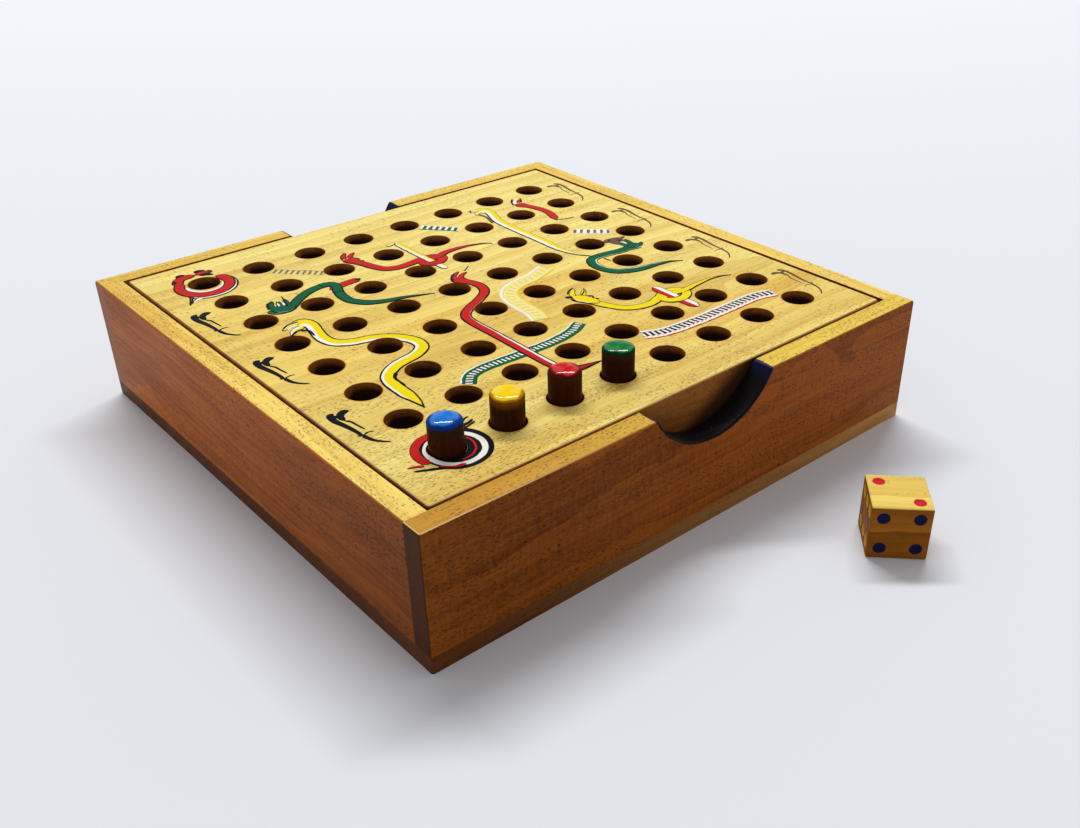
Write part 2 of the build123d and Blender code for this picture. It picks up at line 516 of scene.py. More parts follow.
def brush_stroke(line, along, half_width, layer=0.0):
    """A stroke of paint as a row of low closed sections, one at each point of the line. Each is
    flat below, and its top is at film * (layer + 0.25 + 0.75 * (1 - across**8)), with across
    from -1 at the right edge to 1 at the left. Returns the sections, and for each of their
    points how far along it is, how far across, and the stroke's half width there."""
    slope = np.gradient(line, axis=0)
    slope /= np.linalg.norm(slope, axis=1, keepdims=True)
    left = np.column_stack([-slope[:, 1], slope[:, 0]])
    half_width, layer = (np.broadcast_to(value, along.shape)[:, None] for value in (half_width, layer))
    across = np.concatenate([np.linspace(-1, 1, 11), [1, -1]])
    flat = line[:, None] + left[:, None] * (half_width * across)[..., None]
    height = board_top + film * (layer + 0.25 + 0.75 * (1 - across**8))
    height[:, -2:] = board_top - sunk
    sections = np.concatenate([off_the_holes(flat), height[..., None]], axis=2)
    facts = np.stack(np.broadcast_arrays(along[:, None], across, half_width), -1)
    return sections, facts


def closed_rings(rows, ring, first=0, clockwise=False):
    """The faces of a closed form whose points lie in rings, row by row: four-sided ones between
    neighbouring rings, and one that fills the first ring and one that fills the last. Their
    points are numbered from the first one on, and clockwise is for rings that run that way."""
    index = first + np.arange(rows * ring).reshape(rows, ring)
    after = np.roll(index, -1, axis=1)
    sides = np.stack([index[:-1], index[1:], after[1:], after[:-1]], -1).reshape(-1, 4)
    ends = [index[0], index[-1, ::-1]]
    if clockwise:
        sides, ends = sides[:, [0, 3, 2, 1]], [end[::-1] for end in ends]
    return sides.tolist() + [end.tolist() for end in ends]


fact_kinds = {1: ("FLOAT", "value"), 3: ("FLOAT_VECTOR", "vector"), 4: ("FLOAT_COLOR", "color")}


def new_piece(name, points, faces, finish, **told):
    """A smooth piece with its finish, and with facts told at its points: one number, a vector
    or a colour."""
    mesh = bpy.data.meshes.new(name)
    mesh.from_pydata(points, [], faces)
    for fact, values in told.items():
        kind, field = fact_kinds[values.shape[1]]
        made = mesh.attributes.new(fact, kind, "POINT")
        made.data.foreach_set(field, values.astype(np.float32).ravel())
    mesh.shade_smooth()
    mesh.materials.append(finish)
    piece = bpy.data.objects.new(name, mesh)
    bpy.context.scene.collection.objects.link(piece)
    return piece


def told_at_points(tree, fact, output="Fac"):
    """A fact that the piece's mesh tells at its points."""
    return Value(add_node(tree, "Attribute", attribute_name=fact).outputs[output])


def painted_piece(name, strokes, finish):
    """One piece of several strokes, each closed on its own."""
    points, faces, facts, first = [], [], [], 0
    for sections, own_facts in strokes:
        rows, ring = sections.shape[:2]
        faces += closed_rings(rows, ring, first)
        points.append(sections.reshape(-1, 3))
        facts.append(own_facts.reshape(-1, 3))
        first += rows * ring
    piece = new_piece(name, np.vstack(points), faces, finish, stroke=np.vstack(facts))
    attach(piece, "board")


def make_brush_marks():
    """What a brush leaves: streaks drawn out along the stroke, a short wobble of its edges and
    a long drift of the border between two colours."""
    tree, given, result = new_group(
        "brush_marks", {"Stroke": "Vector"}, {"Streaks": "Float", "Wobble": "Float", "Drift": "Float"})
    feed(result["Streaks"], fade(noise(given["Stroke"], (260, 5, 0), detail=3.0), 0.3, 0.7))
    feed(result["Wobble"], noise(given["Stroke"], (420, 1.5, 0)) - 0.5)
    feed(result["Drift"], noise(given["Stroke"], (70, 0, 0)) - 0.5)
    return tree


brush_marks = make_brush_marks()


def stroke_facts(tree):
    """How far along the stroke and how far across it a place is, the stroke's half width there,
    and its brush marks."""
    told = told_at_points(tree, "stroke", "Vector")
    return *parts_of(told), use_group(tree, brush_marks, {"Stroke": told})


def gloss_paint(shader, colour, streaks):
    """Finishes a brushed gloss paint: a little darker in the streaks, with a slight relief."""
    colour = blend(streaks * 0.08, colour, black_paint)
    finish_surface(shader, colour, streaks * 0.12 + 0.16, streaks, 0.012 * mm)


def two_tone(name, left, right=None, border=0.0, lean=0.0, lines=(0.52, 0.52), line=black_paint):
    """Two colours side by side that meet at a share of the half width left of the middle, a
    share that grows by the lean in each metre, or one colour where no right one is given.
    Along each edge runs a line, and lines are the widths of both in millimetres."""
    tree, material, shader = new_material(name, specular=0.018)
    along, across, half_width, marks = stroke_facts(tree)
    sideways = marks["Drift"] * 0.55 + across - along * lean
    colour = blend(fade(sideways, border - 0.07, border + 0.07), right or left, left)
    for side, width in zip((-1, 1), lines):
        from_edge = (across * side + 1.0) * half_width + marks["Wobble"] * (0.45 * mm)
        colour = blend(fade(from_edge, (width - 0.07) * mm, (width + 0.07) * mm), line, colour)
    gloss_paint(shader, colour, marks["Streaks"])
    return material


def snake_widths(along, half_width, tail_share):
    """Half the width of a snake: a blunt snout, a head wider than the neck, an even body, and a
    tail that narrows to a point over its last share."""
    head = 0.90 + 0.38 * np.exp(-(((along - 1.6 * mm) / (2.2 * mm)) ** 2))
    snout = np.sqrt(np.clip(along / (0.9 * mm) + 0.35, 0, 1))
    to_tip = np.clip((along[-1] - along) / (tail_share * along[-1]), 0.05, 1)
    return half_width * head * snout * to_tip**0.75


def pen_widths(along, start, end):
    """Half widths of a short stroke that goes evenly from one width to another, with round tips."""
    half_width = (start + (end - start) * along / along[-1]) / 2
    from_tip = np.minimum(along, along[-1] - along)
    return half_width * np.sqrt(np.clip(from_tip / max(start, end) * 2, 0.06, 1))


def pen_stroke(points, start, end, layer=0.0):
    """A short stroke through points in metres, with its widths at both ends."""
    line, along = smooth_line(points, 0.25 * mm)
    return brush_stroke(line, along, pen_widths(along, start, end), layer)


def stretch_between(line, start, end):
    """The part of a line from its point nearest to one place to its point nearest to another."""
    first, last = (int(np.argmin(np.linalg.norm(line - on_board(place), axis=1))) for place in (start, end))
    return slice(min(first, last), max(first, last) + 1)


snakes = {
    "yellow_snake": dict(
        route=[(0.36, 4.47), (0.46, 4.52), (0.53, 4.38), (0.48, 4.14), (0.43, 3.84), (0.49, 3.6),
               (0.7, 3.44), (1.01, 3.34), (1.28, 3.14), (1.43, 2.86), (1.4, 2.62), (1.18, 2.46),
               (0.81, 2.37), (0.55, 2.21), (0.43, 1.98), (0.41, 1.62), (0.41, 1.33), (0.385, 1.06)],
        jaws=[[(0.42, 4.58), (0.26, 4.57), (0.1, 4.47)], [(0.42, 4.42), (0.24, 4.36), (0.11, 4.25)]],
        width=5.0 * mm, tail_share=0.1, slot="yellow_paint",
        paint=dict(left=yellow_paint, right=white_paint, border=-0.1, lean=-5.5)),
    "green_snake": dict(
        route=[(0.34, 5.3), (0.39, 5.17), (0.54, 5.12), (0.69, 5.22), (0.84, 5.35), (1.08, 5.5),
               (1.34, 5.58), (1.54, 5.56), (1.59, 5.42), (1.51, 5.21), (1.46, 4.98), (1.48, 4.74),
               (1.64, 4.51), (1.89, 4.37), (2.19, 4.29), (2.66, 4.09)],
        jaws=[[(0.37, 5.28), (0.41, 5.44), (0.5, 5.56)], [(0.48, 5.26), (0.53, 5.4), (0.58, 5.5)],
              [(0.6, 5.22), (0.65, 5.38), (0.69, 5.54)]],
        patches=[([(0.34, 5.31), (0.44, 5.21), (0.56, 5.16), (0.7, 5.19)], 5.8, 4.6)],
        width=3.9 * mm, paint=dict(left=green_paint, right=white_paint, border=-0.8), slot="green_paint",
        over_bar=((1.4, 5.58), (1.5, 5.18))),
    "red_snake": dict(
        route=[(2.34, 6.32), (2.38, 6.14), (2.44, 5.96), (2.51, 5.7), (2.62, 5.49), (2.83, 5.4),
               (3.1, 5.41), (3.34, 5.44), (3.55, 5.42), (3.64, 5.27), (3.5, 5.14), (3.32, 5.15),
               (3.25, 5.28), (3.38, 5.36), (3.62, 5.34), (3.82, 5.42), (4.2, 5.42), (4.45, 5.36),
               (4.68, 5.24)],
        jaws=[[(2.32, 6.34), (2.35, 6.46), (2.47, 6.57)], [(2.4, 6.32), (2.48, 6.42), (2.6, 6.5)]],
        width=4.0 * mm, paint=dict(left=red_paint, right=dark_red_paint, border=-0.6, lines=(0.3, 0.4)),
        slot="red_paint", over_bar=((3.6, 5.2), (3.26, 5.2))),
    "long_red_snake": dict(
        route=[(3.27, 4.34), (3.29, 4.2), (3.38, 4.0), (3.4, 3.8), (3.3, 3.58), (3.05, 3.4), (2.78, 3.26),
               (2.57, 3.1), (2.475, 2.85), (2.475, 2.2), (2.475, 1.5), (2.48, 0.95), (2.52, 0.7),
               (2.7, 0.53), (3.1, 0.475)],
        jaws=[[(3.23, 4.32), (3.31, 4.46), (3.48, 4.56)], [(3.31, 4.28), (3.44, 4.4), (3.58, 4.46)]],
        patches=[([(2.53, 0.7), (2.68, 0.55), (2.86, 0.5), (3.12, 0.475)], 3.4, 0.7)],
        width=3.9 * mm, tail_share=0.09, slot="red_paint",
        paint=dict(left=white_paint, right=red_paint, border=1.0, lean=-11.0)),
    "long_yellow_snake": dict(
        route=[(5.48, 6.68), (5.6, 6.66), (5.63, 6.52), (5.55, 6.28), (5.46, 5.95), (5.445, 5.3),
               (5.45, 4.64), (5.435, 4.2), (5.5, 3.84), (5.66, 3.52)],
        jaws=[[(5.52, 6.72), (5.44, 6.76), (5.34, 6.81)], [(5.5, 6.64), (5.42, 6.62), (5.34, 6.55)]],
        width=4.1 * mm, paint=dict(left=yellow_paint, right=white_paint, border=0.0, lines=(0.15, 0.45)),
        slot="yellow_paint"),
    "small_red_snake": dict(
        route=[(6.36, 6.53), (6.35, 6.42), (6.43, 6.2), (6.485, 5.95), (6.48, 5.75), (6.41, 5.52),
               (6.33, 5.34)],
        jaws=[[(6.34, 6.56), (6.36, 6.67), (6.42, 6.76)], [(6.4, 6.56), (6.46, 6.64), (6.54, 6.7)]],
        width=3.5 * mm, paint=dict(left=red_paint, right=dark_red_paint, border=-0.7, lines=(0.2, 0.2)),
        slot="red_paint", tail_share=0.12),
    "right_green_snake": dict(
        route=[(6.62, 3.42), (6.45, 3.4), (6.19, 3.4), (5.92, 3.45), (5.68, 3.47), (5.52, 3.41),
               (5.42, 3.23), (5.415, 3.0), (5.51, 2.78), (5.72, 2.64), (5.99, 2.56), (6.26, 2.525),
               (6.52, 2.46), (6.71, 2.345)],
        jaws=[[(6.58, 3.38), (6.68, 3.4), (6.78, 3.47)], [(6.56, 3.48), (6.6, 3.62), (6.64, 3.76)],
              [(6.46, 3.46), (6.43, 3.62), (6.42, 3.78)]],
        patches=[([(6.68, 3.43), (6.56, 3.44), (6.42, 3.44)], 5.6, 4.5)],
        width=4.2 * mm,
        paint=dict(left=white_paint, right=green_paint, border=0.78, lean=-3.0, lines=(0.35, 0.52)),
        slot="green_paint"),
    "right_yellow_snake": dict(
        route=[(4.31, 2.44), (4.3, 2.32), (4.37, 2.1), (4.46, 1.85), (4.6, 1.6), (4.8, 1.47), (5.05, 1.43),
               (5.3, 1.5), (5.54, 1.6), (5.74, 1.54), (5.81, 1.41), (5.7, 1.28), (5.53, 1.24), (5.37, 1.31),
               (5.33, 1.45), (5.52, 1.5), (5.8, 1.44), (6.12, 1.47), (6.46, 1.485), (6.69, 1.44),
               (6.88, 1.36)],
        jaws=[[(4.27, 2.46), (4.35, 2.58), (4.49, 2.7)], [(4.37, 2.34), (4.48, 2.45), (4.62, 2.58)]],
        patches=[([(4.26, 2.47), (4.31, 2.34), (4.38, 2.18), (4.44, 2.0)], 5.6, 4.5)],
        width=3.9 * mm, paint=dict(left=yellow_paint, right=white_paint, border=-0.72, lines=(0.35, 0.52)),
        slot="yellow_paint", over_bar=((5.76, 1.34), (5.34, 1.34))),
}

# A body lies on layers 1 to 2 and its jaws among them, so that patches and then bars lie over it.
# The finer line is by how much the black lines of a jaw are thinner than those of a body.
jaw_share = 0.62
jaw_layer = 1.3
finer_line = 1.9
patch_layer = 2.1
bar_layer = 2.2
over_bar_layer = 3

for name, snake in snakes.items():
    line, along = smooth_line(on_board(snake["route"]))
    half_width = snake_widths(along, snake["width"] / 2, snake.get("tail_share", 0.3))
    strokes = [brush_stroke(line, along, half_width, 1 + along / along[-1])]
    jaw_width = jaw_share * snake["width"]
    for jaw in snake["jaws"]:
        sections, facts = pen_stroke(on_board(jaw), jaw_width, 0.5 * jaw_width, jaw_layer)
        strokes.append((sections, facts * (1, 1, finer_line)))
    for points, start, end in snake.get("patches", []):
        strokes.append(pen_stroke(on_board(points), start * mm, end * mm, patch_layer))
    if "over_bar" in snake:
        over = stretch_between(line, *snake["over_bar"])
        strokes.append(brush_stroke(line[over], along[over], half_width[over], over_bar_layer))
    painted_piece(name, strokes, two_tone(name + "_finish", **snake["paint"]))

snake_marks = {
    "snake_teeth": (white_paint, 2.2, [
        ([(0.49, 5.32), (0.52, 5.45)], 0.9, 0.6), ([(0.57, 5.3), (0.61, 5.42)], 0.8, 0.5),
        ([(6.5, 3.58), (6.52, 3.74)], 0.9, 0.6), ([(6.28, 6.53), (6.37, 6.67), (6.47, 6.75)], 1.5, 0.8),
        ([(0.36, 4.52), (0.24, 4.5), (0.15, 4.44)], 0.8, 0.3),
    ]),
    "snake_black_marks": (black_paint, 2.6, [
        ([(0.43, 4.61), (0.25, 4.6), (0.09, 4.49)], 0.7, 0.4),
        ([(0.36, 4.33), (0.22, 4.31), (0.1, 4.22)], 0.8, 0.4),
        ([(0.31, 4.3), (0.4, 4.21), (0.38, 4.0)], 1.0, 0.5),
        ([(0.65, 2.17), (0.54, 2.02), (0.54, 1.76)], 1.2, 0.5),
        ([(0.31, 5.32), (0.37, 5.5), (0.5, 5.58)], 0.9, 0.4),
        ([(0.6, 5.26), (0.66, 5.48), (0.71, 5.66)], 0.8, 0.25),
        ([(0.46, 5.3), (0.5, 5.44), (0.55, 5.52)], 0.4, 0.3),
        ([(2.25, 6.3), (2.3, 6.46), (2.44, 6.58)], 0.5, 0.3), ([(1.955, 5.42), (2.065, 5.42)], 2.6, 1.6),
        ([(3.16, 4.28), (3.22, 4.4), (3.36, 4.52)], 0.9, 0.5), ([(3.58, 4.52), (3.75, 4.64)], 0.4, 0.3),
        ([(4.15, 2.52), (4.25, 2.46)], 1.7, 1.1), ([(4.27, 2.6), (4.36, 2.68), (4.49, 2.73)], 0.6, 0.4),
        ([(4.4, 2.41), (4.53, 2.49), (4.62, 2.6)], 0.6, 0.3),
        ([(4.46, 2.34), (4.53, 2.27), (4.48, 2.2), (4.55, 2.13)], 0.5, 0.4),
        ([(6.22, 6.52), (6.3, 6.69), (6.41, 6.8)], 0.6, 0.4),
        ([(6.45, 6.55), (6.5, 6.64), (6.56, 6.74)], 0.7, 0.5), ([(6.31, 3.86), (6.4, 3.9)], 0.8, 0.6),
        ([(6.47, 3.74), (6.56, 3.8)], 0.8, 0.5),
    ]),
    "snake_brown_marks": (bark_paint, 2.4, [
        ([(5.39, 6.56), (5.42, 6.34), (5.33, 6.02)], 0.7, 1.0), ([(5.4, 6.83), (5.33, 6.72)], 0.8, 0.4),
        ([(6.32, 5.35), (6.5, 5.27), (6.69, 5.24)], 0.5, 0.35),
        ([(2.46, 6.26), (2.51, 6.19), (2.47, 6.13), (2.53, 6.05)], 0.6, 0.5),
        ([(5.74, 3.34), (5.76, 3.18)], 0.6, 0.4), ([(4.5, 5.36), (4.62, 5.28), (4.7, 5.2)], 0.8, 0.4),
        ([(6.24, 3.86), (6.36, 3.9), (6.5, 3.86), (6.62, 3.8)], 2.4, 3.0),
        ([(6.38, 3.92), (6.39, 3.64)], 3.0, 2.2), ([(6.54, 3.88), (6.54, 3.66)], 2.8, 1.6),
        ([(6.6, 3.84), (6.72, 3.86)], 1.6, 0.8),
    ]),
}

for name, (paint, layer, lines) in snake_marks.items():
    strokes = [pen_stroke(on_board(points), start * mm, end * mm, layer) for points, start, end in lines]
    painted_piece(name, strokes, two_tone(name + "_finish", paint, line=paint))


# Bars
# Short straight bars in white, yellow and red. Two of them have a snake knotted round them,
# and the left end of the third lies under a snake.

bars = {
    "white_bar": dict(
        strokes=[([(3.39, 6.36), (3.39, 5.6), (3.41, 4.8)], 2.5 * mm),
                 ([(3.18, 6.34), (3.38, 6.4)], 1.9 * mm)],
        paint=dict(left=yellow_paint, right=white_paint, border=-0.3, lean=30.0, lines=(0.12, 0.3))),
    "striped_bar": dict(
        strokes=[([(5.515, 1.87), (5.515, 1.35), (5.54, 0.84)], 3.9 * mm)],
        paint=dict(left=white_paint, right=red_paint, border=-0.05, lines=(0.35, 0.25)), slot="red_paint"),
    "red_bar": dict(
        strokes=[([(1.44, 5.35), (1.78, 5.41), (2.05, 5.42)], 3.4 * mm)],
        paint=dict(left=red_paint, right=white_paint, border=-0.95, lines=(0.25, 0.25)), slot="red_paint"),
}

for name, bar in bars.items():
    strokes = [pen_stroke(on_board(points), width, width, bar_layer) for points, width in bar["strokes"]]
    painted_piece(name, strokes, two_tone(name + "_finish", **bar["paint"]))


# Ladders
# Brushed bands with two rails and short rungs between them, in two to four colours each,
# laid between the holes under the snakes.


def ladder_paint(name, bands, rung_pitch, slant=0.0):
    """Bands from the left edge to the right one, each as the share of the half width where it
    ends, its colour, and the colour of its rungs where it has any. Rungs come at an even pitch,
    and a slant leans them by that many metres from the middle to an edge."""
    tree, material, shader = new_material(name, specular=0.03)
    along, across, _, marks = stroke_facts(tree)
    phase = maths("FRACT", (across * slant + along) / rung_pitch)
    on_rung = marks["Wobble"] * 0.4 + phase < 0.45
    sideways = marks["Wobble"] * 0.3 + across
    colour = bands[-1][1]
    for end, plain, *rung in reversed(bands):
        own = blend(on_rung, plain, *rung) if rung else plain
        colour = blend(sideways > end, colour, own)
    gloss_paint(shader, colour, marks["Streaks"])
    return material


olive = (0.25, 0.18, 0.035, 1)
pale_wood = (0.84, 0.66, 0.22, 1)
cream = (0.90, 0.80, 0.48, 1)
dark_green_paint = (0.003, 0.055, 0.030, 1)
plum = (0.22, 0.11, 0.10, 1)

ladders = {
    "white_ladder": dict(
        route=[(1.12, 6.68), (1.42, 6.36), (1.74, 6.03)],
        bands=[(0.78, cream), (0.62, olive), (-0.8, pale_wood, olive), (-1.2, cream)],
        width=4.2 * mm, rung_pitch=1.9 * mm),
    "small_green_ladder": dict(
        route=[(4.18, 6.74), (4.42, 6.46), (4.66, 6.17)],
        bands=[(0.8, white_paint), (-0.72, green_paint, white_paint), (-1.2, green_paint)],
        width=3.9 * mm, rung_pitch=2.2 * mm, slot="green_paint"),
    "yellow_ladder": dict(
        route=[(4.72, 3.7), (4.3, 3.54), (3.8, 3.44), (3.52, 3.2), (3.43, 2.8), (3.41, 2.44), (3.33, 2.14)],
        bands=[(0.74, yellow_paint), (0.5, cream), (-0.36, cream, yellow_paint), (-0.52, cream),
               (-0.66, yellow_paint), (-1.2, white_paint)],
        width=6.0 * mm, rung_pitch=2.3 * mm, slant=-0.9 * mm, slot="yellow_paint"),
    "green_ladder": dict(
        route=[(1.22, 1.2), (1.42, 1.4), (1.75, 1.46), (2.3, 1.44), (3.0, 1.44), (3.42, 1.52), (3.7, 1.66)],
        bands=[(0.76, white_paint), (0.34, green_paint), (-0.46, dark_green_paint, white_paint),
               (-1.2, green_paint)],
        width=4.6 * mm, rung_pitch=1.4 * mm, slant=0.5 * mm, slot="green_paint"),
    "red_ladder": dict(
        route=[(4.14, 0.68), (4.5, 0.54), (5.1, 0.49), (5.9, 0.49), (6.5, 0.49), (6.86, 0.39)],
        bands=[(0.7, white_paint), (0.56, plum), (-0.36, black_paint, white_paint),
               (-0.5, white_paint, red_paint), (-0.8, white_paint), (-1.2, red_paint)],
        width=5.4 * mm, rung_pitch=1.75 * mm, slant=0.8 * mm, slot="red_paint"),
    "short_ladder": dict(
        route=[(6.19, 4.68), (6.44, 4.45), (6.7, 4.22)],
        bands=[(0.76, white_paint), (-0.76, white_paint, plum), (-1.2, white_paint)],
        width=4.2 * mm, rung_pitch=2.3 * mm),
}

for name, ladder in ladders.items():
    line, along = smooth_line(on_board(ladder["route"]))
    stroke = brush_stroke(line, along, ladder["width"] / 2)
    finish = ladder_paint(name + "_finish", ladder["bands"], ladder["rung_pitch"], ladder.get("slant", 0.0))
    painted_piece(name, [stroke], finish)


# Start and finish rings
# Two coiled snakes painted round corner holes. The one round the first hole is a white ring
# between a red and a black snake, and the one round the last hole of that side is a red snake.


def around_hole(hole, places):
    """Board coordinates of places given in millimetres from the middle of a hole."""
    return on_board(hole) + np.asarray(places, float) * mm


def arc(middle, radius, start, end):
    """Places in millimetres on an arc from one angle to another, a point every 20 degrees."""
    angle = np.radians(np.linspace(start, end, int(abs(end - start) / 20) + 2))
    return np.column_stack([middle[0] + radius * np.cos(angle), middle[1] + radius * np.sin(angle)]).tolist()


rings = {
    "start_black_ring": dict(
        strokes=[(arc((0.7, -0.9), 5.7, 100, 472), 4.4, 4.4)],
        hole=(0, 0), paint=dict(left=black_paint), layer=0.0),
    "start_white_ring": dict(
        strokes=[(arc((1.5, -1.5), 7.2, 100, 472), 2.6, 2.6)],
        hole=(0, 0), paint=dict(left=white_paint, lines=(0.45, 0.6)), layer=0.5),
    "start_red_snake": dict(
        strokes=[([(-12.2, -1.4), (-10.4, -2.0), (-8.6, -3.2)], 0.7, 1.2),
                 (arc((-0.3, 0.0), 7.4, 205, 70), 2.5, 2.5), (arc((0.7, -0.9), 5.9, -100, 20), 0.8, 0.9),
                 ([(-6.2, -5.6), (-3.6, -8.0), (-0.6, -8.7)], 1.0, 1.3)],
        hole=(0, 0), paint=dict(left=red_paint, lines=(0.15, 0.15)), slot="red_paint", layer=1.0),
    "start_black_snake": dict(
        strokes=[(arc((1.4, -1.3), 8.8, 42, -140) + [(-8.6, -5.2), (-11.8, -3.5)], 1.6, 0.8),
                 ([(7.6, 4.4), (9.4, 6.0), (11.0, 6.2), (12.8, 7.0)], 1.1, 0.7),
                 ([(8.6, 4.6), (10.8, 5.2), (12.6, 5.8)], 0.6, 0.5),
                 ([(10.2, 7.6), (11.4, 8.5), (12.8, 8.7)], 0.7, 0.4)],
        hole=(0, 0), paint=dict(left=black_paint), layer=1.6),
    "finish_white_crescent": dict(
        strokes=[(arc((-0.2, -0.9), 5.9, 165, 350), 1.6, 1.6), (arc((-0.3, -2.2), 8.2, 205, 385), 3.6, 3.0),
                 ([(-5.0, -9.4), (-7.6, -10.4), (-9.6, -12.0)], 2.2, 0.6)],
        hole=(0, 7), paint=dict(left=white_paint, lines=(0.0, 0.6)), layer=0.0),
    "finish_red_snake": dict(
        strokes=[(arc((-0.5, -1.4), 7.6, 130, 398), 3.5, 3.8),
                 ([(-6.8, 3.0), (-5.8, 6.2), (-3.4, 7.9), (0.6, 7.9)], 3.8, 3.6),
                 ([(0.8, 7.6), (3.4, 8.2), (5.8, 6.8)], 3.2, 2.0),
                 ([(-7.4, -7.4), (-8.8, -9.8), (-10.5, -12.9)], 1.4, 0.5)],
        hole=(0, 7), paint=dict(left=red_paint, lines=(0.4, 0.5)), slot="red_paint", layer=1.0),
    "finish_black_spots": dict(
        strokes=[([(-4.8, 9.4), (-3.6, 10.2), (-1.9, 9.8)], 1.8, 1.4),
                 ([(1.2, 9.6), (2.6, 10.1), (4.6, 9.3)], 1.9, 1.3), ([(-7.2, 5.0), (-6.6, 7.2)], 1.6, 1.0),
                 ([(1.6, 6.8), (3.6, 6.2), (5.2, 4.6)], 2.2, 1.2), ([(5.0, 8.6), (6.2, 7.2)], 1.2, 0.7)],
        hole=(0, 7), paint=dict(left=black_paint), layer=2.4),
}

for name, ring in rings.items():
    strokes = [
        pen_stroke(around_hole(ring["hole"], places), start * mm, end * mm, ring["layer"] + 0.2 * count)
        for count, (places, start, end) in enumerate(ring["strokes"])
    ]
    painted_piece(name, strokes, two_tone(name + "_finish", **ring["paint"]))


# Edge arrows
# Thin hand-drawn arrows along the left and right edges, which show where a player goes up to
# the next row: black on the left, and their mirror image in faint brown on the right.

arrow_lines = [
    ([(2.7, 9.4), (0.9, 9.4), (-0.5, 8.0), (-0.7, 5.4)], 2.6, 1.5),
    ([(-1.2, 10.6), (-2.4, 9.6), (-2.7, 6.9), (-2.0, 3.4), (-1.4, -0.4), (-1.2, -3.8)], 2.2, 1.0),
    ([(-0.7, 5.4), (0.2, 4.0), (0.5, 1.6), (0.9, -1.4)], 0.8, 0.5), ([(-2.2, 8.4), (-0.2, 8.6)], 1.8, 1.4),
    ([(-2.2, -2.8), (-1.2, -3.6), (0.6, -3.1), (2.1, -3.4)], 0.7, 0.4),
    ([(-1.2, -3.6), (-0.4, -6.9), (1.1, -9.2), (2.6, -10.5)], 1.4, 0.6),
]
arrows = {
    "left_arrows": dict(
        side=-0.58, rows=(5.35, 3.27, 1.18), mirror=1, weight=1.0, ink=black_paint),
    "right_arrows": dict(
        side=7.55, rows=(6.4, 4.45, 2.45, 0.4), mirror=-1, weight=0.66, ink=(0.17, 0.095, 0.025, 1)),
}

for name, group in arrows.items():
    strokes = []
    for row in group["rows"]:
        for count, (places, start, end) in enumerate(arrow_lines):
            line = around_hole((group["side"], row), np.array(places) * (group["mirror"], 1))
            widths = (width * group["weight"] * mm for width in (start, end))
            strokes.append(pen_stroke(line, *widths, 0.1 * count))
    painted_piece(name, strokes, two_tone(name + "_finish", group["ink"], line=group["ink"]))


# Pegs
# Four dowels of dark stained hardwood, one for each player, their tops dipped in gloss paint.
# The paint gathers into a rounded rim and ends in an uneven line a millimetre or so down.

pegs = {
    "blue": dict(
        paint=(0.014, 0.18, 0.66, 1), thin_and_shaded_paint=(0.004, 0.026, 0.19, 1), stain_and_shadow=(0.030, 0.014, 0.012, 1),
        cap=dict(crown=1.7 * mm, depth=1.55 * mm, power=2.35)),
    "yellow": dict(
        paint=(0.96, 0.66, 0.002, 1), thin_and_shaded_paint=(0.42, 0.17, 0.003, 1), stain_and_shadow=(0.20, 0.070, 0.003, 1),
        cap=dict(crown=1.5 * mm, depth=1.0 * mm, power=2.75)),
    "red": dict(
        paint=(0.62, 0.008, 0.006, 1), thin_and_shaded_paint=(0.060, 0.004, 0.004, 1), stain_and_shadow=(0.060, 0.012, 0.005, 1),
        cap=dict(crown=1.6 * mm, depth=0.95 * mm, power=2.2)),
    "green": dict(
        paint=(0.006, 0.19, 0.040, 1), thin_and_shaded_paint=(0.002, 0.020, 0.009, 1), stain_and_shadow=(0.030, 0.016, 0.006, 1),
        cap=dict(crown=1.5 * mm, depth=1.15 * mm, power=2.55)),
}
dowel_light = (0.055, 0.014, 0.004, 1)
dowel_dark = (0.012, 0.003, 0.001, 1)
dowel_pore = (0.005, 0.002, 0.001, 1)
foot_bevel = 0.4 * mm
stain_depth = 2.8 * mm
paint_film = 0.06 * mm
side_rings = 56
crown_rings = 28
ring_points = 96
line_waves = [(0.14 * mm, 2), (0.07 * mm, 5), (0.04 * mm, 9)]


def peg_finish(name, paint, thin_and_shaded_paint, stain_and_shadow, depth):
    """Dark dowel wood with its grain upright, under gloss paint above its paint line. The paint
    is thickest and glossiest round the rim. Below the rim it darkens towards a thin paint
    colour, partly paint thinning over the dark wood and partly painted shade on the side of
    the cap. Under its line, it has run into the wood and stained it for a few millimetres."""
    tree, material, shader = new_material(name, specular=0.015)
    wood = wood_grain(tree, dowel_light, dowel_dark, dowel_pore, turn=(0, 90, 0), Ripple=0.1)
    above = told_at_points(tree, "above_line")
    covered = fade(above, -0.06 * mm, 0.06 * mm)
    thin = fade(noise(object_place(tree), (500, 500, 200)), 0.35, 0.8)
    # Below the rim the paint darkens towards its thin colour, partly thinning paint and partly painted shade.
    low = 1.0 - fade(above, depth - 0.70 * mm, depth - 0.36 * mm)
    coat = blend(thin * 0.08 + low * 0.92, paint, thin_and_shaded_paint)
    bare = blend(fade(above, -stain_depth, 0.0), wood["Color"], stain_and_shadow)
    gathered_to = fade(above, depth - 0.16 * mm, depth - 0.06 * mm)
    gathered = fade(above, depth - 0.55 * mm, depth - 0.38 * mm) - gathered_to
    feed(shader.inputs["Coat Weight"], gathered * 0.6)
    rough = (1.0 - covered) * wood["Roughness"] + covered * 0.25
    finish_surface(shader, blend(covered, bare, coat), rough, thin, 0.010 * mm)
    return material


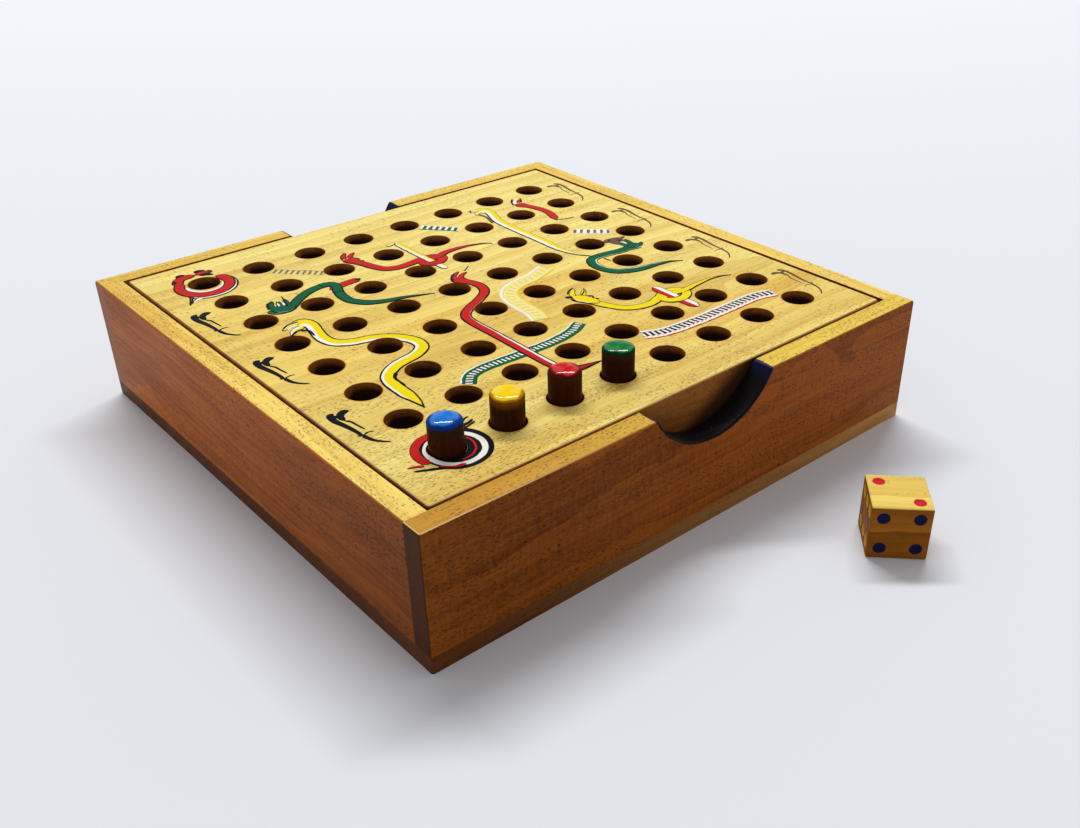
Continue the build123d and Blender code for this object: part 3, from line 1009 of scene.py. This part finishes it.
def dipped_peg(name, node, finish, slot, seed, crown, depth, power):
    """A dowel as a surface of height and angle. Its radius is that of the bare dowel below the
    paint and a film more above it, where the paint line is a sum of three waves round the
    dowel. On the crown, (radius / full radius)**power + (height / crown)**power = 1, so a
    higher power gives a flatter top and a tighter rim."""
    low, high = (np.array(corner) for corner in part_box(node))
    centre, radius = (low[:2] + high[:2]) / 2, (high[0] - low[0]) / 2
    sides = np.linspace(low[2] + foot_bevel, high[2] - crown, side_rings)
    turn = np.linspace(0, math.pi / 2, crown_rings)[1:-1]
    height = np.concatenate([[low[2]], sides, high[2] - crown + crown * np.sin(turn) ** (2 / power)])
    inward = np.concatenate([[foot_bevel], 0 * sides, radius - radius * np.cos(turn) ** (2 / power)])
    angle = np.linspace(0, 2 * math.pi, ring_points, endpoint=False)
    starts = np.random.default_rng(seed).uniform(0, 2 * math.pi, len(line_waves))
    line = sum(size * np.sin(waves * angle + start) for (size, waves), start in zip(line_waves, starts))
    above = height[:, None] - (high[2] - depth + line)
    painted = np.clip(above / (0.3 * mm) + 0.5, 0, 1)
    reach = radius - inward[:, None] - paint_film * (1 - painted)
    points = np.stack([centre[0] + reach * np.cos(angle), centre[1] + reach * np.sin(angle),
                       np.broadcast_to(height[:, None], reach.shape)], -1)
    faces = closed_rings(*reach.shape, clockwise=True)
    piece = new_piece(name, points.reshape(-1, 3), faces, finish, above_line=above.reshape(-1, 1))
    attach(piece, node)
    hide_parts(node)


for seed, (colour, peg) in enumerate(pegs.items()):
    finish = peg_finish(
        f"dipped_{colour}_peg_finish", peg["paint"], peg["thin_and_shaded_paint"], peg["stain_and_shadow"], peg["cap"]["depth"])
    dipped_peg(f"dipped_{colour}_peg", f"{colour}_peg", finish, f"{colour}_paint", seed, **peg["cap"])


# Die
# A small cube sawn from pale wood, its edges rubbed round. Each pip is a shallow drilled dimple
# with a dab of paint in it, in one colour on each face, and opposite faces add up to seven.

die_turn = -46
die_edge_round = 0.55 * mm
pip_offset = 4.7 * mm
pip_radius = 1.9 * mm
pip_depth = 0.5 * mm
same_point = 0.001 * mm
face_points = 81

die_light = (0.92, 0.71, 0.17, 1)
die_dark = (0.68, 0.42, 0.075, 1)
die_shaded_side_light = (0.37, 0.130, 0.014, 1)
die_shaded_side_dark = (0.16, 0.044, 0.004, 1)
die_pore = (0.12, 0.045, 0.012, 1)
pip_red = (0.66, 0.020, 0.045, 1)
pip_navy = (0.010, 0.012, 0.050, 1)
pip_gold = (0.62, 0.33, 0.035, 1)
pip_green = (0.010, 0.14, 0.050, 1)

x_way, y_way, z_way = np.eye(3)
die_faces = [
    (2, pip_red, x_way, y_way),
    (5, pip_green, x_way, -y_way),
    (4, pip_navy, x_way, z_way),
    (3, pip_green, x_way, -z_way),
    (6, pip_gold, z_way, y_way),
    (1, pip_red, -z_way, y_way),
]


def pip_places(count):
    """Middles of a face's pips."""
    corners = [(-1, 1), (1, -1), (-1, -1), (1, 1)]
    places = corners if count >= 4 else corners[:2] if count > 1 else []
    places = places + ([(-1, 0), (1, 0)] if count == 6 else []) + ([(0, 0)] if count % 2 else [])
    return np.array(places, float) * pip_offset


def die_face(half, count, paint, rightward, upward):
    """One face of the die as a grid over the flat square. A point is the nearest one of a smaller
    cube plus the edge's radius away from it, which rounds the edges. A pip sinks the face by
    its depth times (1 - (distance / radius)**2)."""
    step = np.linspace(-half, half, face_points)
    flat = np.stack(np.meshgrid(step, step, indexing="ij"), -1)
    outward = np.cross(rightward, upward)
    place = flat[..., :1] * rightward + flat[..., 1:] * upward + half * outward
    core = np.clip(place, die_edge_round - half, half - die_edge_round)
    away = place - core
    place = core + die_edge_round * away / np.linalg.norm(away, axis=-1, keepdims=True)
    to_pip = np.linalg.norm(flat[:, :, None] - pip_places(count), axis=-1).min(axis=-1)
    sink = pip_depth * np.clip(1 - (to_pip / pip_radius) ** 2, 0, 1)
    colours = np.broadcast_to(paint, to_pip.shape + (4,))
    return place - sink[..., None] * outward, to_pip, colours


def make_die(name, node, finish):
    """Six faces joined where their edges meet, turned and put where the node is."""
    low, high = (np.array(corner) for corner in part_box(node))
    made = [die_face((high[2] - low[2]) / 2, *face) for face in die_faces]
    places, to_pip, colours = (np.stack(values) for values in zip(*made))
    rows = places.shape[1]
    index = np.arange(places[..., 0].size).reshape(len(made), rows, rows)
    corners = [index[:, :-1, :-1], index[:, 1:, :-1], index[:, 1:, 1:], index[:, :-1, 1:]]
    faces = np.stack(corners, -1).reshape(-1, 4)
    rounded = np.round(places.reshape(-1, 3) / same_point).astype(int)
    _, first, joined = np.unique(rounded, axis=0, return_index=True, return_inverse=True)
    angle = math.radians(die_turn)
    cos, sin = math.cos(angle), math.sin(angle)
    turned = np.array([[cos, sin, 0], [-sin, cos, 0], [0, 0, 1]])
    points = places.reshape(-1, 3)[first] @ turned + (low + high) / 2
    piece = new_piece(name, points, joined.ravel()[faces].tolist(), finish,
                      to_pip=to_pip.reshape(-1, 1)[first], pip_paint=colours.reshape(-1, 4)[first])
    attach(piece, node)
    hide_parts(node)


tree, die_finish, shader = new_material("die_finish", specular=0.012)
# The die's sides take darker copies of its top's colours, as painted shade.
on_top = fade(parts_of(Value(add_node(tree, "TexCoord").outputs["Normal"]))[2], 0.35, 0.8)
light, dark = (blend(on_top, *pair) for pair in ((die_shaded_side_light, die_light), (die_shaded_side_dark, die_dark)))
wood = wood_grain(tree, light, dark, die_pore, turn=(0, 0, -die_turn), shift=(0, 0.03, 0.01),
                  Rings=0.6, Pores=0.15)
to_pip = noise(object_place(tree), (700, 700, 700)) * (0.35 * mm) + told_at_points(tree, "to_pip")
bare = fade(to_pip, pip_radius - 0.10 * mm, pip_radius + 0.10 * mm)
colour = blend(bare, told_at_points(tree, "pip_paint", "Color"), wood["Color"])
finish_surface(shader, colour, bare * 0.12 + 0.30, wood["Height"], 0.08 * mm)
make_die("painted_die", "die", die_finish)


# Floor, light and camera
# A plain pale table, one wide soft lamp above and behind the box, and a pale surround.

floor_reach = 3.5
floor_colour = (0.78, 0.81, 0.86, 1)
tree, floor_finish, shader = new_material("floor_finish", specular=0.1)
feed(shader.inputs["Base Color"], floor_colour)
feed(shader.inputs["Roughness"], 0.9)
corners = [(x * floor_reach, y * floor_reach, 0) for x, y in ((-1, -1), (1, -1), (1, 1), (-1, 1))]
floor = new_piece("floor", corners, [(0, 1, 2, 3)], floor_finish)

lamp_data = bpy.data.lights.new("window", "AREA")
lamp_data.shape = "RECTANGLE"
lamp_data.size, lamp_data.size_y = 3.8, 0.5
lamp_data.energy = 160
lamp = bpy.data.objects.new("window", lamp_data)
lamp.location = (1.5, 2.0, 3.8)
lamp.rotation_euler = lamp.location.to_track_quat("Z", "Y").to_euler()
bpy.context.scene.collection.objects.link(lamp)

world = bpy.data.worlds.new("surround")
bpy.context.scene.world = world
world.use_nodes = True
tree = world.node_tree
tree.nodes.clear()
fill = add_node(tree, "Background", {"Color": (1.0, 0.98, 0.97, 1), "Strength": 0.44})
pale = add_node(tree, "Background", {"Color": floor_colour})
ray = add_node(tree, "LightPath").outputs
seen, mirrored, through = (Value(ray[f"Is {kind} Ray"]) for kind in ("Camera", "Glossy", "Transmission"))
shown = maths("MAXIMUM", seen, maths("MAXIMUM", mirrored, through))
mixed = add_node(tree, "MixShader", {0: shown, 1: Value(fill.outputs[0]), 2: Value(pale.outputs[0])})
add_node(tree, "OutputWorld", {"Surface": Value(mixed.outputs[0])})

heading, tilt = 41.68, 31.49
camera_data = bpy.data.cameras.new("camera")
camera_data.lens = 37.81
camera_data.sensor_width = 36
camera_data.shift_x = -0.0502
camera_data.shift_y = 0.0227
camera_data.clip_start = 0.01
camera = bpy.data.objects.new("camera", camera_data)
camera.location = (-0.1919, -0.2606, 0.1838)
camera.rotation_euler = (math.radians(90 - tilt), 0, math.radians(-heading))
bpy.context.scene.collection.objects.link(camera)
bpy.context.scene.camera = camera

bpy.context.scene.view_settings.view_transform = "Standard"
